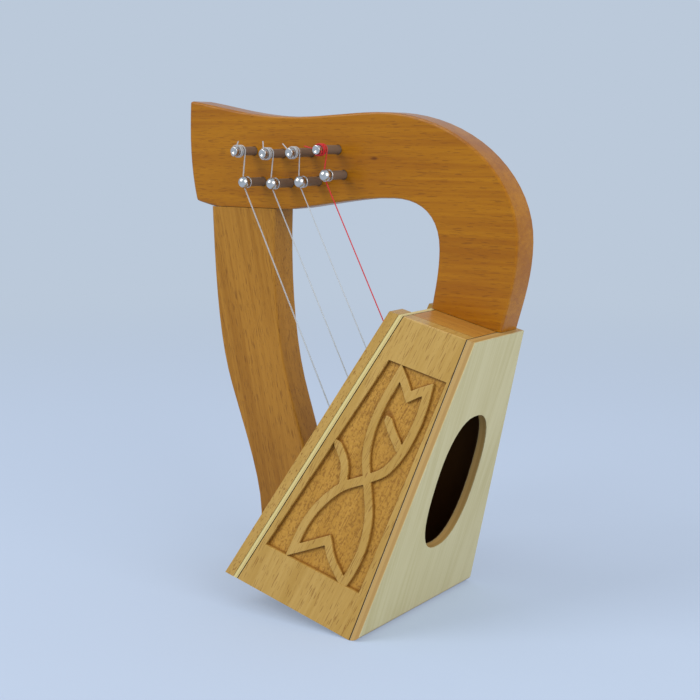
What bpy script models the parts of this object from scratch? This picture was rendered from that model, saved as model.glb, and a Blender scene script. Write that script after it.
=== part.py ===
"""A small four-string harp, modelled piece by piece at its real size.

Lengths are in metres and +Z is up. +X runs from the pillar to the back of the
soundbox, and +Y runs from the carved side that faces the player to the far
side. The finished harp stands on its heel and on the pillar's foot, with the
world's origin on the floor under the middle of its box.

Two frames carry the pieces. The harp frame has its origin where the
soundbox's back and bottom faces would meet. The box frame shares that origin
and is turned by the soundbox's tilt, so in it the bottom lies level.
"""

import math

import bmesh
import bpy
from mathutils import Matrix, Vector

# Fits
GLUE = 0.0003
CLEARANCE = 0.0003
COIL_GAP = 0.00050

# Soundbox, measured in its own frame
BOX_TILT = math.radians(12.76)
BOX_HEIGHT = 0.1717
BOX_DEPTH_FOOT = 0.0865
BOX_DEPTH_TOP = 0.0453
BACK_LEAN = 0.0133
BOX_WIDTH_FOOT = 0.1180
BOX_WIDTH_TOP = 0.0520
HEEL_RADIUS = 0.0070
SIDE_THICK = 0.0080
BACK_PLY = 0.0053
SOUNDBOARD_PLY = 0.0027
TRIM_THICK = 0.0057
TRIM_WIDTH = 0.0125
TOP_BLOCK_THICK = 0.0140
BOTTOM_THICK = 0.0080
BOTTOM_BLOCK_DEPTH = 0.0150
BOTTOM_BLOCK_HEIGHT = 0.0180
RIB_THICK = 0.0050
RIB_WIDTH = 0.0100
RIB_END_GAP = 0.0010
TOP_EDGE_ROUND = 0.0025

# Carved recess in each side, as margins from the side's edges
RECESS_FOOT = 0.0256
RECESS_HEAD = 0.0241
RECESS_FRONT_FOOT = 0.0034
RECESS_FRONT_HEAD = 0.0063
RECESS_BACK_FOOT = 0.0102
RECESS_BACK_HEAD = 0.0072
RECESS_DEPTH = 0.0025

# Sound hole in the back, an oval
HOLE_CENTRE = 0.0845
HOLE_HALF_WIDTH = 0.0224
HOLE_HALF_HEIGHT = 0.0410
HOLE_FULLNESS = 2.4
HOLE_POINTS = 44

# Neck board
BOARD_THICK = 0.0190
BOARD_FRONT = 0.0054
ARRIS_ROUND = 0.0016
NECK_RISE = 0.1078
NECK_LENGTH = 0.2326
NECK_DEPTH = 0.0556
SHOULDER_OVERHANG = 0.0060
SHOULDER_WIDTH = 0.0487
SHOULDER_LEVEL = 0.0384
SHOULDER_START = 0.0908
SEAT_INSET = 0.0034
TIP_RISE = 0.0085
TIP_BULGE = 0.0015
TIP_UNDERCUT = 0.0052
TIP_DEPTH = 0.0528
DIP_DEPTH = 0.0020
DIP_RUN = 0.0540
ARCH_DROP = 0.0475
ARCH_RUN = 0.0301
ARCH_LEVEL = 0.0334
UNDERSIDE_LEVEL = 0.0154

# Pillar, cut from the same board
PILLAR_INSET = 0.0179
PILLAR_WIDTH_TOP = 0.0503
FOOT_LENGTH = 0.0334
FOOT_SEAT = 0.0200
FOOT_STRAIGHT = 0.0370
FRONT_KNEE_LEVEL = 0.1248
FRONT_KNEE_OUT = 0.0259
BACK_KNEE_LEVEL = 0.1220
BACK_KNEE_OUT = 0.0114

# Tuning pins and bridge pins, one of each for each string, from the tip on
PIN_RADIUS = 0.0026
PIN_SIDES = 16
TUNING_PIN_INSETS = (0.0529, 0.0753, 0.0965, 0.1155)
TUNING_PIN_DROPS = (0.0219, 0.0232, 0.0225, 0.0208)
TUNING_PIN_REACHES = (0.0185, 0.0193, 0.0212, 0.0206)
TUNING_PIN_EMBED = 0.0140
TIP_ROUND = 0.0006
DIMPLE_RADIUS = 0.0012
DIMPLE_DEPTH = 0.0005
EYE_FROM_TIP = 0.0018
BRIDGE_PIN_INSETS = (0.0596, 0.0809, 0.1016, 0.1196)
BRIDGE_PIN_DROPS = (0.0399, 0.0403, 0.0389, 0.0350)
BRIDGE_PIN_EMBED = 0.0120
GROOVE_REACH = 0.0153
GROOVE_RADIUS = 0.0018
GROOVE_WIDTH = 0.0016
COLLAR_RADIUS = 0.0034
COLLAR_WIDTH = 0.0008
DOME_RADIUS = 0.0035
DOME_LENGTH = 0.0044

# Strings
STRING_DIAMETERS = (0.0009, 0.0008, 0.0007, 0.0007)
STRING_ANCHORS = (0.0760, 0.1010, 0.1247, 0.1462)
KNOT_RADIUS = 0.0016
WINDING_TURNS = 2
TAIL_ANGLES = tuple(math.radians(angle) for angle in (69, 95, 138, 168))
TAIL_LENGTHS = (0.0062, 0.0072, 0.0075, 0.0096)
HIDDEN_ANGLE = math.radians(215)
LOOP_POINTS = 24

# Dowels and screws
DOWEL_RADIUS = 0.0030
DOWEL_CHAMFER = 0.0006
DOWEL_SIDES = 14
NECK_DOWEL_LENGTH = 0.0290
NECK_DOWEL_IN_BLOCK = 0.0110
NECK_DOWEL_INSETS = (0.0120, 0.0300)
PILLAR_DOWEL_LENGTH = 0.0320
PILLAR_DOWEL_INSETS = (0.0150, 0.0353)
SCREW_RADIUS = 0.00175
SCREW_LENGTH = 0.0360
SCREW_HEAD_RADIUS = 0.0030
SCREW_HEAD_HEIGHT = 0.0020
SCREW_POINT = 0.0030
SCREW_LEVEL = 0.0120
SCREW_SPACING = 0.0090
SCREW_SIDES = 12

# Values that follow from the sizes above
BACK_ANGLE = math.atan2(BACK_LEAN, BOX_HEIGHT)
FRONT_RUN = BACK_LEAN - BOX_DEPTH_TOP + BOX_DEPTH_FOOT
FRONT_ANGLE = math.atan2(FRONT_RUN, BOX_HEIGHT)
SIDE_SLANT = math.atan2((BOX_WIDTH_FOOT - BOX_WIDTH_TOP) / 2, BOX_HEIGHT)
BOARD_BACK = BOARD_FRONT + BOARD_THICK
BOARD_MIDDLE = BOARD_FRONT + BOARD_THICK / 2
STRINGS = range(len(STRING_DIAMETERS))


def back_x(z, inward=0.0):
    """x of the back's outer face at height z, or of a plane that far inside it."""
    return BACK_LEAN * z / BOX_HEIGHT - inward / math.cos(BACK_ANGLE)


def front_x(z, outward=0.0):
    """x of the sides' front edge at height z, or of a plane that far before it."""
    return FRONT_RUN * z / BOX_HEIGHT - BOX_DEPTH_FOOT - outward / math.cos(FRONT_ANGLE)


def half_width(z, inward=0.0):
    """Half the box's width at height z, or that of a plane inside the sides."""
    taper = (BOX_WIDTH_TOP - BOX_WIDTH_FOOT) * z / BOX_HEIGHT
    return (BOX_WIDTH_FOOT + taper) / 2 - inward / math.cos(SIDE_SLANT)


def box_to_harp(x, z):
    """Turn a point's x and z in the box frame into x and z in the harp frame."""
    cosine, sine = math.cos(BOX_TILT), math.sin(BOX_TILT)
    return x * cosine + z * sine, z * cosine - x * sine


# Heel: the round where the bottom meets the back
HEEL_CENTRE_X = -HEEL_RADIUS * (1 - math.sin(BACK_ANGLE)) / math.cos(BACK_ANGLE)
HEEL_STEPS = 8


def heel_round(x_start, x_end):
    """Points along the bottom and the heel's round, from x_start to x_end."""
    points = []
    first = -math.pi / 2
    if x_start < HEEL_CENTRE_X:
        points.append((x_start, 0.0))
    else:
        first = -math.acos((x_start - HEEL_CENTRE_X) / HEEL_RADIUS)
    if x_end <= HEEL_CENTRE_X:
        return points + [(x_end, 0.0)]
    last = -math.acos(min(1.0, (x_end - HEEL_CENTRE_X) / HEEL_RADIUS))
    last = min(last, -BACK_ANGLE)
    for step in range(HEEL_STEPS + 1):
        angle = first + (last - first) * step / HEEL_STEPS
        x = HEEL_CENTRE_X + HEEL_RADIUS * math.cos(angle)
        points.append((x, HEEL_RADIUS + HEEL_RADIUS * math.sin(angle)))
    return points


# Outlines in the harp frame: each bend is one cubic curve
def bend(start, start_angle, end, end_angle, pulls=(0.36, 0.36), steps=8):
    """Points of a curve from start up to, but not including, end.

    The angles, in degrees, are its directions at the two ends. The pulls are
    how far its handles reach, as shares of the distance between the ends.
    """
    span = math.dist(start, end)
    points = []
    handles = [start]
    for point, angle, reach in (
        (start, start_angle, pulls[0] * span),
        (end, end_angle, -pulls[1] * span),
    ):
        angle = math.radians(angle)
        handles.append((point[0] + reach * math.cos(angle), point[1] + reach * math.sin(angle)))
    handles.append(end)
    for step in range(steps):
        t = step / steps
        weights = ((1 - t) ** 3, 3 * t * (1 - t) ** 2, 3 * t * t * (1 - t), t ** 3)
        points.append(tuple(
            sum(weight * handle[axis] for weight, handle in zip(weights, handles))
            for axis in (0, 1)
        ))
    return points


SEAT_FRONT = box_to_harp(
    front_x(BOX_HEIGHT + GLUE, GLUE + SOUNDBOARD_PLY), BOX_HEIGHT + GLUE)
SEAT_BACK = box_to_harp(back_x(BOX_HEIGHT + GLUE, SEAT_INSET), BOX_HEIGHT + GLUE)
TOP_FRONT_CORNER = box_to_harp(front_x(BOX_HEIGHT), BOX_HEIGHT)
TOP_BACK_CORNER = box_to_harp(back_x(BOX_HEIGHT), BOX_HEIGHT)
NECK_TOP = TOP_FRONT_CORNER[1] + NECK_RISE
NECK_UNDERSIDE = NECK_TOP - NECK_DEPTH
SHOULDER_X = TOP_BACK_CORNER[0] + SHOULDER_OVERHANG
TIP_X = SHOULDER_X - NECK_LENGTH
PILLAR_LEFT = TIP_X + PILLAR_INSET
PILLAR_RIGHT = PILLAR_LEFT + PILLAR_WIDTH_TOP
SOUNDBOARD_FACE = GLUE + SOUNDBOARD_PLY


def neck_outline():
    """The neck board's outline, anticlockwise from the tip's top corner."""
    tip_top = (TIP_X + TIP_BULGE, NECK_TOP + TIP_RISE)
    tip_foot = (TIP_X + TIP_UNDERCUT, NECK_TOP - TIP_DEPTH)
    underside = (PILLAR_RIGHT + UNDERSIDE_LEVEL, NECK_UNDERSIDE)
    inner_x = SHOULDER_X - SHOULDER_WIDTH
    arch_start = (inner_x - ARCH_RUN, NECK_TOP - ARCH_DROP)
    arch_end = (inner_x, TOP_FRONT_CORNER[1] + ARCH_LEVEL)
    shoulder_foot = (SHOULDER_X, TOP_FRONT_CORNER[1] + SHOULDER_LEVEL)
    shoulder_top = (SHOULDER_X - SHOULDER_START, NECK_TOP)
    dip = (shoulder_top[0] - DIP_RUN, NECK_TOP - DIP_DEPTH)

    points = bend(tip_top, -94, tip_foot, -76)
    points += [tip_foot, (PILLAR_LEFT, NECK_UNDERSIDE)]
    points += bend(underside, 8, arch_start, 0, (0.29, 0.33))
    points += bend(arch_start, 0, arch_end, -90, (0.446, 0.446), 10)
    points += bend(arch_end, -90, SEAT_FRONT, -101)
    points += [SEAT_FRONT]
    points += bend(SEAT_BACK, 74, shoulder_foot, 90)
    points += quarter_round(shoulder_foot, shoulder_top, 18)
    points += bend(shoulder_top, 180, dip, 180)
    points += bend(dip, 180, tip_top, 172, (0.45, 0.30), 10)
    return points


def quarter_round(start, end, steps):
    """A quarter of an ellipse that leaves start upward and reaches end level."""
    width = start[0] - end[0]
    height = end[1] - start[1]
    points = []
    for step in range(steps):
        angle = math.pi / 2 * step / steps
        points.append((end[0] + width * math.cos(angle), start[1] + height * math.sin(angle)))
    return points


def pillar_outline(floor):
    """The pillar's outline, anticlockwise from its top left corner."""
    top = NECK_UNDERSIDE - GLUE
    contact = SOUNDBOARD_FACE + GLUE
    toe = box_to_harp(front_x(0.0, contact), 0.0)
    seat_z = FOOT_SEAT * math.cos(FRONT_ANGLE)
    seat_top = box_to_harp(front_x(seat_z, contact), seat_z)
    foot_left = toe[0] - FOOT_LENGTH
    front_knee = (foot_left - FRONT_KNEE_OUT, FRONT_KNEE_LEVEL)
    back_knee = (toe[0] - BACK_KNEE_OUT, BACK_KNEE_LEVEL)
    ankle = (foot_left, FOOT_STRAIGHT)

    points = bend((PILLAR_LEFT, top), -88, front_knee, -74, (0.36, 0.28))
    points += bend(front_knee, -74, ankle, -89, (0.27, 0.29))
    points += [ankle, (foot_left, floor), (toe[0], floor), toe]
    points += bend(seat_top, 93, back_knee, 106, (0.34, 0.22))
    points += bend(back_knee, 106, (PILLAR_RIGHT, top), 87, (0.28, 0.35))
    points += [(PILLAR_RIGHT, top)]
    return points


FLOOR = min(box_to_harp(x, z)[1] for x, z in heel_round(back_x(0.0, BACK_PLY), back_x(0.0)))
NECK_POINTS = neck_outline()
MIDDLE_X = (min(x for x, _ in NECK_POINTS) + max(x for x, _ in NECK_POINTS)) / 2


# Scene, materials and objects
def clear_scene():
    """Remove every object from the open file."""
    for item in list(bpy.data.objects):
        bpy.data.objects.remove(item, do_unlink=True)


def linear(channel):
    """Turn one 0 to 255 screen value into a linear colour value."""
    value = channel / 255
    return value / 12.92 if value <= 0.04045 else ((value + 0.055) / 1.055) ** 2.4


def finish(name, red, green, blue, roughness, metallic=0.0):
    """A plain Principled material from a screen colour."""
    material = bpy.data.materials.new(name)
    material.use_nodes = True
    shader = material.node_tree.nodes["Principled BSDF"]
    shader.inputs["Base Color"].default_value = (linear(red), linear(green), linear(blue), 1.0)
    shader.inputs["Roughness"].default_value = roughness
    shader.inputs["Metallic"].default_value = metallic
    return material


def frame(name, location, rotation, parent=None):
    """An empty that carries pieces."""
    empty = bpy.data.objects.new(name, None)
    bpy.context.collection.objects.link(empty)
    empty.location = location
    empty.rotation_euler = rotation
    empty.parent = parent
    return empty


def place(name, data, parent, material=None):
    """Put a mesh or curve into the scene under its parent."""
    item = bpy.data.objects.new(name, data)
    bpy.context.collection.objects.link(item)
    item.parent = parent
    if material:
        data.materials.append(material)
    return item


def mesh_from(bm, name, smooth_angle=30):
    """Finish a bmesh into a mesh with outward faces and smooth rounds."""
    bmesh.ops.recalc_face_normals(bm, faces=bm.faces)
    mesh = bpy.data.meshes.new(name)
    bm.to_mesh(mesh)
    bm.free()
    mesh.shade_smooth()
    mesh.set_sharp_from_angle(angle=math.radians(smooth_angle))
    return mesh


def prism(name, outline, near, far, parent, material, softness=None, width=0.0, segments=2):
    """A solid whose outline in x and z runs from its near to its far face.

    near and far give y at a height z. softness gives the share of width by
    which the edge between two points is rounded.
    """
    bm = bmesh.new()
    ring = [bm.verts.new((x, near(z), z)) for x, z in outline]
    bm.faces.new(ring)
    result = bmesh.ops.extrude_face_region(bm, geom=bm.faces[:] + bm.edges[:])
    moved = [item for item in result["geom"] if isinstance(item, bmesh.types.BMVert)]
    for vert in moved:
        vert.co.y = far(vert.co.z)
    if softness:
        layer = bm.edges.layers.float.new("bevel_weight_edge")
        for edge in bm.edges:
            edge[layer] = softness(edge.verts[0].co, edge.verts[1].co)
    item = place(name, mesh_from(bm, name), parent, material)
    if softness:
        modifier = item.modifiers.new("softened edges", "BEVEL")
        modifier.limit_method = "WEIGHT"
        modifier.width = width
        modifier.segments = segments
    return item


def cutter(name, mesh, parent, target):
    """A hidden solid that is cut out of the target."""
    item = place(name, mesh, parent)
    item.hide_render = True
    item.display_type = "WIRE"
    modifier = target.modifiers.new(name, "BOOLEAN")
    modifier.operation = "DIFFERENCE"
    modifier.object = item
    return item


def drill(target, name, parent, holes, sides=DOWEL_SIDES):
    """Cut round holes, each given as its start, its end and its radius."""
    bm = bmesh.new()
    for start, end, radius in holes:
        start, end = Vector(start), Vector(end)
        axis = end - start
        turn = axis.to_track_quat("Z", "Y").to_matrix().to_4x4()
        bmesh.ops.create_cone(
            bm, cap_ends=True, segments=sides, radius1=radius, radius2=radius,
            depth=axis.length, matrix=Matrix.Translation((start + end) / 2) @ turn)
    cutter(name, mesh_from(bm, name), parent, target)


def turned(name, profile, sides, parent, material):
    """A turned solid around local Z, from points of height and radius."""
    bm = bmesh.new()
    verts = [bm.verts.new((radius, 0.0, height)) for height, radius in profile]
    edges = [bm.edges.new(pair) for pair in zip(verts, verts[1:])]
    bmesh.ops.spin(
        bm, geom=verts + edges, cent=(0, 0, 0), axis=(0, 0, 1),
        angle=2 * math.pi, steps=sides, use_merge=True)
    bmesh.ops.remove_doubles(bm, verts=bm.verts, dist=0.000001)
    return place(name, mesh_from(bm, name), parent, material)


def tube(name, points, radius, parent, material, swells=None, resolution=2):
    """A round tube along the points, with filled ends."""
    curve = bpy.data.curves.new(name, "CURVE")
    curve.dimensions = "3D"
    curve.bevel_depth = radius
    curve.bevel_resolution = resolution
    curve.use_fill_caps = True
    spline = curve.splines.new("POLY")
    spline.points.add(len(points) - 1)
    for index, point in enumerate(points):
        spline.points[index].co = (*point, 1.0)
        spline.points[index].radius = swells[index] if swells else 1.0
    return place(name, curve, parent, material)


# Soundbox
def side_softness(start, end):
    """Round a side's top outer edge fully and its other edges slightly."""
    outer = all(abs(abs(p.y) - half_width(p.z)) < GLUE for p in (start, end))
    at_top = all(abs(p.z - BOX_HEIGHT) < GLUE for p in (start, end))
    if outer and at_top:
        return 1.0
    return 0.16 if outer else 0.0


def make_side(name, sign, box_frame, wood):
    """A side board with its recess; sign is -1 for the near side."""
    foot_back = back_x(0.0, BACK_PLY + GLUE)
    outline = heel_round(front_x(0.0), foot_back)
    outline += [(back_x(BOX_HEIGHT, BACK_PLY + GLUE), BOX_HEIGHT), (front_x(BOX_HEIGHT), BOX_HEIGHT)]
    side = prism(
        name, outline, lambda z: sign * half_width(z), lambda z: sign * half_width(z, SIDE_THICK),
        box_frame, wood, side_softness, TOP_EDGE_ROUND, 3)
    foot, head = RECESS_FOOT, BOX_HEIGHT - RECESS_HEAD
    corners = [
        (front_x(foot, -RECESS_FRONT_FOOT), foot), (back_x(foot, RECESS_BACK_FOOT), foot),
        (back_x(head, RECESS_BACK_HEAD), head), (front_x(head, -RECESS_FRONT_HEAD), head)]
    recess = prism(
        name + "_recess", corners, lambda z: sign * half_width(z, -RECESS_DEPTH),
        lambda z: sign * half_width(z, RECESS_DEPTH), box_frame, None)
    data = recess.data
    bpy.data.objects.remove(recess, do_unlink=True)
    cutter(name + "_recess", data, box_frame, side)


def make_back(box_frame, ply):
    """The back panel with its oval sound hole and its round heel."""
    outline = heel_round(back_x(0.0, BACK_PLY), back_x(0.0))
    outline += [(back_x(BOX_HEIGHT), BOX_HEIGHT), (back_x(BOX_HEIGHT, BACK_PLY), BOX_HEIGHT)]
    back = prism(
        "back_panel", outline, lambda z: -half_width(z), lambda z: half_width(z), box_frame, ply)
    bm = bmesh.new()
    ring = []
    power = 2 / HOLE_FULLNESS
    for step in range(HOLE_POINTS):
        angle = 2 * math.pi * (step + 0.5) / HOLE_POINTS
        across = math.copysign(abs(math.cos(angle)) ** power, math.cos(angle))
        along = math.copysign(abs(math.sin(angle)) ** power, math.sin(angle))
        ring.append(bm.verts.new((
            -2 * BACK_PLY, HOLE_HALF_WIDTH * across, HOLE_CENTRE + HOLE_HALF_HEIGHT * along)))
    bm.faces.new(ring)
    result = bmesh.ops.extrude_face_region(bm, geom=bm.faces[:] + bm.edges[:])
    moved = [item for item in result["geom"] if isinstance(item, bmesh.types.BMVert)]
    bmesh.ops.translate(bm, vec=(3 * BACK_PLY, 0, 0), verts=moved)
    hole = cutter("sound_hole", mesh_from(bm, "sound_hole"), box_frame, back)
    hole.rotation_euler = (0, BACK_ANGLE, 0)


def make_blocks(box_frame, wood):
    """The top block, the bottom panel and the block behind the soundboard's foot."""
    def inner(z):
        return half_width(z, SIDE_THICK + GLUE)

    inside_back = BACK_PLY + GLUE
    low, high = BOX_HEIGHT - TOP_BLOCK_THICK, BOX_HEIGHT
    prism("top_block", [
        (front_x(low), low), (back_x(low, inside_back), low),
        (back_x(high, inside_back), high), (front_x(high), high),
    ], lambda z: -inner(z), inner, box_frame, wood)

    outline = heel_round(front_x(0.0), back_x(0.0, inside_back))
    outline += [
        (back_x(BOTTOM_THICK, inside_back), BOTTOM_THICK), (front_x(BOTTOM_THICK), BOTTOM_THICK)]
    prism("bottom_panel", outline, lambda z: -inner(z), inner, box_frame, wood)

    low = BOTTOM_THICK + GLUE
    high = low + BOTTOM_BLOCK_HEIGHT
    prism("bottom_block", [
        (front_x(low), low), (front_x(low) + BOTTOM_BLOCK_DEPTH, low),
        (front_x(low) + BOTTOM_BLOCK_DEPTH, high), (front_x(high), high),
    ], lambda z: -inner(z), inner, box_frame, wood)


def front_strip(near_side, far_side, low=0.0, high=BOX_HEIGHT):
    """The outline of a strip between two planes parallel to the front edge."""
    return [
        (front_x(low, far_side), low), (front_x(low, near_side), low),
        (front_x(high, near_side), high), (front_x(high, far_side), high)]


def make_front(box_frame, ply, wood):
    """The soundboard, its two trim strips and the rib behind it."""
    prism(
        "soundboard", front_strip(GLUE, SOUNDBOARD_FACE), lambda z: -half_width(z),
        lambda z: half_width(z), box_frame, ply)
    trim_back = SOUNDBOARD_FACE + GLUE
    outline = front_strip(trim_back, trim_back + TRIM_THICK)
    for name, sign in (("soundboard_trim_near", -1), ("soundboard_trim_far", 1)):
        prism(
            name, outline, lambda z, s=sign: s * half_width(z),
            lambda z, s=sign: s * (half_width(z) - TRIM_WIDTH), box_frame, wood)
    low = BOTTOM_THICK + GLUE + BOTTOM_BLOCK_HEIGHT + RIB_END_GAP
    high = BOX_HEIGHT - TOP_BLOCK_THICK - RIB_END_GAP
    prism(
        "string_rib", front_strip(-RIB_THICK, 0.0, low, high), lambda z: -RIB_WIDTH / 2,
        lambda z: RIB_WIDTH / 2, box_frame, wood)


# Neck and pillar
def board_softness(start, end):
    """Round the arrises of a board, but leave its glued seats crisp."""
    middle = (start + end) / 2
    cosine, sine = math.cos(BOX_TILT), math.sin(BOX_TILT)
    box_x = middle.x * cosine - middle.z * sine
    box_z = middle.x * sine + middle.z * cosine
    on_box_top = abs(box_z - BOX_HEIGHT) < 2 * GLUE
    on_box_front = abs(box_x - front_x(box_z, SOUNDBOARD_FACE)) < 2 * GLUE and box_z >= 0
    at_joint = abs(middle.z - NECK_UNDERSIDE) < 2 * GLUE and middle.x < PILLAR_RIGHT + GLUE
    at_floor = abs(middle.z - FLOOR) < GLUE
    across = abs(start.y - end.y) > BOARD_THICK / 2
    if on_box_top or on_box_front or at_joint or at_floor:
        return 0.0
    if across:
        at_tip = middle.x < PILLAR_LEFT and middle.z > NECK_UNDERSIDE + GLUE
        return 1.0 if at_tip else 0.0
    return 1.0


def make_boards(harp_frame, neck_wood, pillar_wood):
    """The neck board and the pillar board, flush with each other."""
    for name, outline, wood in (
        ("neck", NECK_POINTS, neck_wood),
        ("pillar", pillar_outline(FLOOR), pillar_wood),
    ):
        prism(
            name, outline, lambda z: BOARD_FRONT, lambda z: BOARD_BACK,
            harp_frame, wood, board_softness, ARRIS_ROUND)


# Pins and strings
def make_tuning_pin(index, harp_frame, steel):
    """A tuning pin with a dimpled tip and a cross hole for its string."""
    reach = TUNING_PIN_REACHES[index]
    name = f"tuning_pin_{index + 1}"
    profile = [
        (-TUNING_PIN_EMBED, 0.0), (-TUNING_PIN_EMBED, PIN_RADIUS - TIP_ROUND),
        (-TUNING_PIN_EMBED + TIP_ROUND, PIN_RADIUS), (reach - TIP_ROUND, PIN_RADIUS),
        (reach - TIP_ROUND * 0.3, PIN_RADIUS - TIP_ROUND * 0.3), (reach, PIN_RADIUS - TIP_ROUND),
        (reach, DIMPLE_RADIUS), (reach - DIMPLE_DEPTH, 0.0)]
    pin = turned(name, profile, PIN_SIDES, harp_frame, steel)
    pin.location = (TIP_X + TUNING_PIN_INSETS[index], BOARD_FRONT, NECK_TOP - TUNING_PIN_DROPS[index])
    pin.rotation_euler = (math.pi / 2, 0, 0)
    angle = TAIL_ANGLES[index]
    height = reach - EYE_FROM_TIP
    side = Vector((math.cos(angle), math.sin(angle), 0.0)) * 2 * PIN_RADIUS
    middle = Vector((0, 0, height))
    eye = STRING_DIAMETERS[index] / 2 + CLEARANCE
    drill(pin, name + "_eye", pin, [(middle - side, middle + side, eye)], 10)
    return pin


def make_bridge_pin(index, harp_frame, steel):
    """A bridge pin: shaft, collar, string groove and domed head."""
    groove_back = GROOVE_REACH - GROOVE_WIDTH / 2
    dome_back = GROOVE_REACH + GROOVE_WIDTH / 2
    profile = [
        (-BRIDGE_PIN_EMBED, 0.0), (-BRIDGE_PIN_EMBED, PIN_RADIUS - TIP_ROUND),
        (-BRIDGE_PIN_EMBED + TIP_ROUND, PIN_RADIUS), (groove_back - COLLAR_WIDTH, PIN_RADIUS),
        (groove_back - COLLAR_WIDTH, COLLAR_RADIUS), (groove_back, COLLAR_RADIUS),
        (groove_back, GROOVE_RADIUS), (dome_back, GROOVE_RADIUS)]
    steps = 5
    waist = DOME_LENGTH - DOME_RADIUS
    first = -math.asin(min(1.0, waist / DOME_RADIUS))
    for step in range(steps + 1):
        angle = first + (math.pi / 2 - first) * step / steps
        radius = DOME_RADIUS * math.cos(angle) if step < steps else 0.0
        profile.append((dome_back + waist + DOME_RADIUS * math.sin(angle), radius))
    pin = turned(f"bridge_pin_{index + 1}", profile, PIN_SIDES, harp_frame, steel)
    pin.location = (TIP_X + BRIDGE_PIN_INSETS[index], BOARD_FRONT, NECK_TOP - BRIDGE_PIN_DROPS[index])
    pin.rotation_euler = (math.pi / 2, 0, 0)


def coil_step(index):
    """Distance between the middles of neighbouring turns of a string."""
    return STRING_DIAMETERS[index] + COIL_GAP


def winding_angles(index):
    """Where a string's winding starts and where it turns into the pin's eye."""
    diameter = STRING_DIAMETERS[index]
    radius = PIN_RADIUS + diameter / 2 + CLEARANCE
    corner = 1.05 * diameter
    lead = math.asin(corner / (radius - corner))
    entry = TAIL_ANGLES[index] + math.pi
    turn = 2 * math.pi
    return HIDDEN_ANGLE - turn * WINDING_TURNS, entry - lead, radius, corner


def winding_reach(index):
    """Height of the winding's inner end over the neck's face."""
    start, end, _, _ = winding_angles(index)
    steps = (end - start) / (2 * math.pi) + 0.5
    return TUNING_PIN_REACHES[index] - EYE_FROM_TIP - steps * coil_step(index)


def make_winding(index, pin, nylon):
    """The wound end of a string: a helix, a corner into the eye and the cut tail."""
    start, end, radius, corner = winding_angles(index)
    diameter = STRING_DIAMETERS[index]
    eye_height = TUNING_PIN_REACHES[index] - EYE_FROM_TIP
    step = coil_step(index)
    count = math.ceil((end - start) / (2 * math.pi) * LOOP_POINTS)
    heading = Vector((-math.sin(start), math.cos(start), 0.0))
    first = Vector((radius * math.cos(start), radius * math.sin(start), winding_reach(index)))
    points = [first - heading * diameter]
    for item in range(count + 1):
        angle = start + (end - start) * item / count
        left = (end - angle) / (2 * math.pi)
        climb = step * (2 * left if left < 0.5 else left + 0.5)
        points.append(Vector((
            radius * math.cos(angle), radius * math.sin(angle), eye_height - climb)))
    middle = Vector((math.cos(end), math.sin(end), 0.0)) * (radius - corner)
    sweep = TAIL_ANGLES[index] + 1.5 * math.pi - end
    corner_points = 4
    for item in range(1, corner_points + 1):
        angle = end + sweep * item / corner_points
        points.append(middle + Vector((
            corner * math.cos(angle), corner * math.sin(angle), eye_height)))
    tail = TAIL_ANGLES[index]
    tip = Vector((math.cos(tail), math.sin(tail), 0.0)) * TAIL_LENGTHS[index]
    tip.z = eye_height
    run = tip - points[-1]
    pieces = math.ceil(run.length / (2 * diameter))
    inside = points[-1].copy()
    for item in range(1, pieces + 1):
        points.append(inside + run * item / pieces)
    name = f"string_winding_{index + 1}"
    tube(name, points, diameter / 2, pin, nylon, resolution=1)
    print(name, "least gap to itself:", round(least_gap(points, diameter) * 1000, 3), "mm")


def least_gap(points, diameter):
    """Smallest gap between stretches of a tube at least a third of a turn apart."""
    apart = LOOP_POINTS // 3
    return min(
        (points[a] - points[b]).length
        for a in range(len(points)) for b in range(a + apart, len(points))) - diameter


def tangent_angle(start, start_side, end, end_side):
    """Direction of the line that touches two circles in the plane.

    A side is the circle's radius, positive where the circle lies on the
    line's left, negative on its right, and zero at a point.
    """
    offset = math.asin((end_side - start_side) / math.dist(start, end))
    return math.atan2(end[1] - start[1], end[0] - start[0]) - offset


def around(centre, side, first, last, steps):
    """Points on a circle where a line that touches it turns from first to last."""
    points = []
    for step in range(steps + 1):
        left = first + (last - first) * step / steps + math.pi / 2
        points.append((centre[0] - side * math.cos(left), centre[1] - side * math.sin(left)))
    return points


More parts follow.
